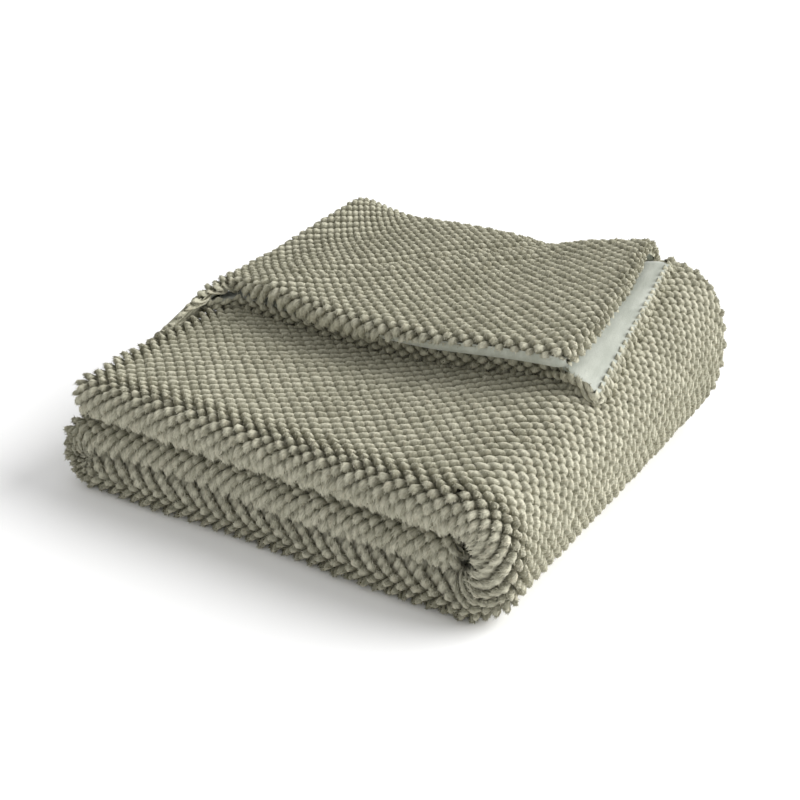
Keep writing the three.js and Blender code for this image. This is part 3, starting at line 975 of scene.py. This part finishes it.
class ThrowLook(bpy.types.PropertyGroup):
    tuft_run: length_setting("Tuft run", "From a tuft to the next along the cloth", 0.0132)
    tuft_across: length_setting("Tuft across", "From a tuft to the next across the cloth", 0.0108)
    pile_light: color_setting("Light pile", "Palest pile colour", (0.67, 0.65, 0.52))
    pile_dark: color_setting("Dark pile", "Deepest pile colour", (0.41, 0.40, 0.305))
    pile_warm: color_setting("Warm pile", "Colour of the warmer strands", (0.56, 0.50, 0.38))
    # Colour of the painted shade down between the tufts, on their front faces and at their roots, also
    # used between the strands
    groove_shade: color_setting("Groove", "Colour down between the tufts", (0.115, 0.11, 0.07))
    reverse_light: color_setting(
        "Light reverse", "Reverse where its nap is brushed up", (0.565, 0.585, 0.525)
    )
    reverse_dark: color_setting(
        "Dark reverse", "Reverse where its nap lies flat", (0.355, 0.378, 0.325)
    )


def look_and_material(context, name, maker):
    look = context.scene.throw_look
    return look, bpy.data.materials.get(name) or maker(look)


# The pieces

PILE_SEED = 11

# The way the pile lies in the cloth's own run and across, on the strip and on the flap's plies
LEAN_STRIP = (0.10, -0.98)
LEAN_FLAP = (0.10, -0.90)

# How tall a tuft stands on the strip and on the flap
STRIP_TUFT_HEIGHT = 0.0030
FLAP_TUFT_HEIGHT = 0.0028

# How far the plush shows inside the mouth between two front rolls
LIP = 0.026

# Where the flat stretches of the strip's grid end, at the right loop, the left loop and inside
RIGHT_STATION = 0.146
LEFT_STATION = -0.169
INNER_STATION = 0.141


def strip_openness(place, run, across):
    """How far the strip's tufts stand open, from a tenth on the flat to 1 over a front roll."""
    over_roll = 1 - ease(ROLL_QUARTER * 0.9, ROLL_QUARTER * 2.2, np.abs(across))
    near_end = 1 - ease(0.004, 0.030, run)
    near_hem = 0.5 * ease(HALF_DEPTH - 0.022, HALF_DEPTH - 0.012, place[..., 1])
    on_loop = blend(0.10, 0.22, ease(0.110, 0.180, place[..., 0]))
    return np.maximum(np.maximum(over_roll, near_end), np.maximum(near_hem, on_loop))


def strip_part(place, run):
    """Where along the letter fold: 0 top, 1 right loop, 2 bottom, 3 left loop, 4 middle."""
    y = place[..., 1]
    center, reach, radius = right_loop(y)
    left_layer = layer_at(-HALF_WIDTH, y)
    lengths = (
        center - TOP_END_X,
        math.pi * mean_radius(reach, radius),
        center + HALF_WIDTH - left_layer,
        math.pi * left_layer,
    )
    ends = np.cumsum(np.stack(lengths), axis=0)
    return (run > ends).sum(axis=0)


def by_roll(across):
    return np.abs(across) < ROLL_QUARTER + LIP


def wanted_top(place, run, across):
    shown = (across > -ROLL_QUARTER - 0.012) & (place[..., 1] < 0.0)
    return (strip_part(place, run) == 0) & shown


def wanted_loop(place, run, across):
    return (strip_part(place, run) == 1) & (across > -ROLL_QUARTER - 0.040)


def wanted_rolls(place, run, across):
    part = strip_part(place, run)
    return (part >= 2) & (by_roll(across) | ((part == 3) & (across > 0)))


def wanted_under(place, run, across):
    return (strip_part(place, run) == 2) & (across > 0) & ~by_roll(across)


def wanted_inside(place, run, across):
    shown = wanted_top(place, run, across) | wanted_loop(place, run, across)
    shown = shown | wanted_rolls(place, run, across) | wanted_under(place, run, across)
    return ~shown & ((place[..., 1] > HALF_DEPTH - 0.060) | (place[..., 0] < 0.035 - HALF_WIDTH))


def block(kind, start, end, step):
    values = spread(start, end, step)
    return kind, values, np.zeros(len(values))


def end_block(kind, value, step, reverse=False):
    """Rows that turn a ply's free end over, outwards from a station."""
    turns = spread(math.pi, 0.0, step / EDGE_RADIUS)[:-1]
    turns = turns[::-1] if reverse else turns
    return kind, np.full(len(turns), float(value)), turns


def strip_cloth():
    """The whole doubled strip, from its free end on top to the one inside the right loop."""
    step = GRID_STEP
    quarter = math.pi / 2
    near, hem_y = ROLL_CENTER_Y + step, HALF_DEPTH - HEM_INSET
    far = hem_y - EDGE_RADIUS
    inner = hem_columns(hem_y, -1, step)[::-1] + flat_columns(far, near, -1, step)
    outer = flat_columns(near, far, 1, step) + hem_columns(hem_y, 1, step)
    start = TOP_END_X + EDGE_RADIUS
    blocks = [
        end_block("top", start, step),
        block("top", start, RIGHT_STATION, step),
        block("right", quarter, -quarter, step / 0.060),
        block("bottom", RIGHT_STATION, LEFT_STATION, step),
        block("left", -quarter, -3 * quarter, step / 0.032),
        block("middle", LEFT_STATION, INNER_STATION, step),
        end_block("middle_end", EDGE_RADIUS, step, reverse=True),
    ]
    return Cloth(strip_grid(blocks, inner + roll_columns(-quarter, quarter, step) + outer))


class THROW_OT_strip(bpy.types.Operator):
    """Make the doubled plush strip with its letter fold, its front rolls and its hems"""

    bl_idname = "throw.strip"
    bl_label = "Folded strip"

    def execute(self, context):
        look, plush = look_and_material(context, "Plush", plush_material)
        cloth = strip_cloth()
        generator = np.random.default_rng(PILE_SEED)
        for name, places, wanted, locks in (
            ("tufts_top", SHOWN_PLACES, wanted_top, 75000),
            ("tufts_loop", SHOWN_PLACES, wanted_loop, 60000),
            ("tufts_rolls", SHOWN_PLACES, wanted_rolls, 90000),
            ("tufts_under", UNDER_PLACES, wanted_under, 0),
            ("tufts_inside", INSIDE_PLACES, wanted_inside, 0),
        ):
            shape = (strip_skew, strip_openness, LEAN_STRIP, STRIP_TUFT_HEIGHT)
            tufts = Tufts(cloth, look, places, wanted, *shape)
            tufted_piece(name, tufts, plush)
            if locks:
                pile_piece(name.replace("tufts", "pile"), tufts, locks, plush, generator)
        ground_piece("throw_strip", cloth, 3, plush)
        return {"FINISHED"}


def upper_hem_turn(x):
    """How far the plush turns round the upper hem: all the way at the left, less at the right."""
    return blend(2.6, 1.2, ease(-0.060, 0.090, x))


def upper_openness(place, run, across):
    near_hem = (1 - ease(0.002, 0.016, across)) * ease(-0.034, -0.024, across)
    near_side = ease(UPPER_EDGE_FRONT - 0.014, UPPER_EDGE_FRONT - 0.004, run)
    return np.clip(np.maximum(near_hem, 0.7 * near_side), 0.30, 1.0)


def lower_openness(place, run, across):
    return np.where(run > LOWER_EDGE_FRONT - 0.020, 0.25, 0.9)


def wanted_all(place, run, across):
    return run > -9


def wanted_lower(place, run, across):
    return (across < 0.030) | (run > LOWER_EDGE_FRONT - 0.040)


class THROW_OT_flap(bpy.types.Operator):
    """Make the flap's two plush plies, turned back over the top of the stack"""

    bl_idname = "throw.flap"
    bl_label = "Flap plies"

    def execute(self, context):
        look, plush = look_and_material(context, "Plush", plush_material)
        step = GRID_STEP
        rows, columns = flap_rows(step, 2.2, 2.2), flap_columns(step, 2.2, step / 0.038)
        upper = Cloth(flap_grid(UPPER, 1, rows, columns, upper_hem_turn))
        rows, columns = flap_rows(step, 2.2, 2.85), flap_columns(step, 2.4, step / 0.017)
        lower = Cloth(flap_grid(LOWER, -1, rows, columns, lambda x: 2.5 + 0 * x))
        generator = np.random.default_rng(PILE_SEED + 1)
        for ply, cloth, wanted, openness, locks in (
            ("upper", upper, wanted_all, upper_openness, 75000),
            ("lower", lower, wanted_lower, lower_openness, 20000),
        ):
            shape = (no_skew, openness, LEAN_FLAP, FLAP_TUFT_HEIGHT)
            tufts = Tufts(cloth, look, SHOWN_PLACES, wanted, *shape)
            pile = [
                tufted_piece(f"tufts_flap_{ply}", tufts, plush),
                pile_piece(f"pile_flap_{ply}", tufts, locks, plush, generator),
            ]
            ground_piece(f"throw_flap_{ply}", cloth, 2, plush)
        return {"FINISHED"}


class THROW_OT_reverse(bpy.types.Operator):
    """Make the smooth reverse between the flap's plies, folded at the back"""

    bl_idname = "throw.reverse"
    bl_label = "Smooth reverse"

    def execute(self, context):
        _, velvet = look_and_material(context, "SmoothReverse", reverse_material)
        rows = flap_rows(GRID_STEP, 0.5, 0.3)
        columns = flap_columns(GRID_STEP, 1.0, 0.004 / 0.017)
        lower = flap_grid(LOWER_REVERSE, 1, rows, columns, lambda x: 0.7 + 0 * x, -0.0002)
        rows = flap_rows(0.0035, 0.9, 0.9)
        columns = flap_columns(0.0035, 1.5, 0.006 / 0.030)
        upper = flap_grid(UPPER, -1, rows, columns, lambda x: math.pi + 0.1 - upper_hem_turn(x), -0.0004)
        smooth_piece("throw_reverse", [lower, upper], velvet, "smooth_reverse")
        return {"FINISHED"}


class THROW_OT_stage(bpy.types.Operator):
    """Make the pale floor, the soft light and the camera at the photograph's viewing angle"""

    bl_idname = "throw.stage"
    bl_label = "Floor, light and camera"

    def execute(self, context):
        scene = context.scene
        bpy.ops.object.select_all(action="DESELECT")
        bpy.ops.mesh.primitive_plane_add(size=30, location=(0, 0, -0.0004))
        floor = context.active_object
        floor.name = "floor"
        material, _, shader = new_material("Floor")
        shader.inputs["Base Color"].default_value = (0.98, 0.98, 0.98, 1)
        shader.inputs["Roughness"].default_value = 0.9
        floor.data.materials.append(material)
        world = bpy.data.worlds.new("Studio")
        world.use_nodes = True
        background = world.node_tree.nodes["Background"].inputs
        background["Color"].default_value = (1.0, 1.0, 1.0, 1)
        background["Strength"].default_value = 0.68
        scene.world = world
        data = bpy.data.lights.new("softbox", "SUN")
        data.energy = 3.5
        data.angle = math.radians(45)
        light = bpy.data.objects.new("softbox", data)
        light.rotation_euler = Vector((-0.84, -0.55, -0.66)).to_track_quat("-Z", "Y").to_euler()
        scene.collection.objects.link(light)
        scene.view_settings.view_transform = "Standard"
        self.camera(scene)
        return {"FINISHED"}

    def camera(self, scene):
        azimuth, elevation = math.radians(32.55), math.radians(25.16)
        distance, focal_pixels, frame_pixels = 1.1167, 1289.5, 800
        shift_right, shift_up = -7.15, -2.65
        target = Vector((0, 0, 0.05))
        view = Vector((
            -math.sin(azimuth) * math.cos(elevation),
            math.cos(azimuth) * math.cos(elevation),
            -math.sin(elevation),
        ))
        data = bpy.data.cameras.new("camera")
        data.sensor_width = 36.0
        data.lens = focal_pixels / frame_pixels * data.sensor_width
        data.shift_x = shift_right / frame_pixels
        data.shift_y = shift_up / frame_pixels
        camera = bpy.data.objects.new("camera", data)
        camera.location = target - view * distance
        camera.rotation_euler = view.to_track_quat("-Z", "Y").to_euler()
        scene.collection.objects.link(camera)
        scene.camera = camera


class THROW_PT_panel(bpy.types.Panel):
    """Lists the throw's pieces and its look"""

    bl_idname = "THROW_PT_panel"
    bl_label = "Folded plush throw"
    bl_space_type = "VIEW_3D"
    bl_region_type = "UI"
    bl_category = "Throw"

    def draw(self, context):
        for name in ("strip", "flap", "reverse", "stage"):
            self.layout.operator(f"throw.{name}")
        for name in ThrowLook.__annotations__:
            self.layout.prop(context.scene.throw_look, name)


CLASSES = (ThrowLook, THROW_OT_strip, THROW_OT_flap, THROW_OT_reverse, THROW_OT_stage, THROW_PT_panel)


def register():
    for item in CLASSES:
        bpy.utils.register_class(item)
    bpy.types.Scene.throw_look = bpy.props.PointerProperty(type=ThrowLook)


def unregister():
    del bpy.types.Scene.throw_look
    for item in reversed(CLASSES):
        bpy.utils.unregister_class(item)


def main():
    register()
    bpy.ops.throw.strip()
    bpy.ops.throw.flap()
    bpy.ops.throw.reverse()
    bpy.ops.throw.stage()


if __name__ == "__main__":
    main()
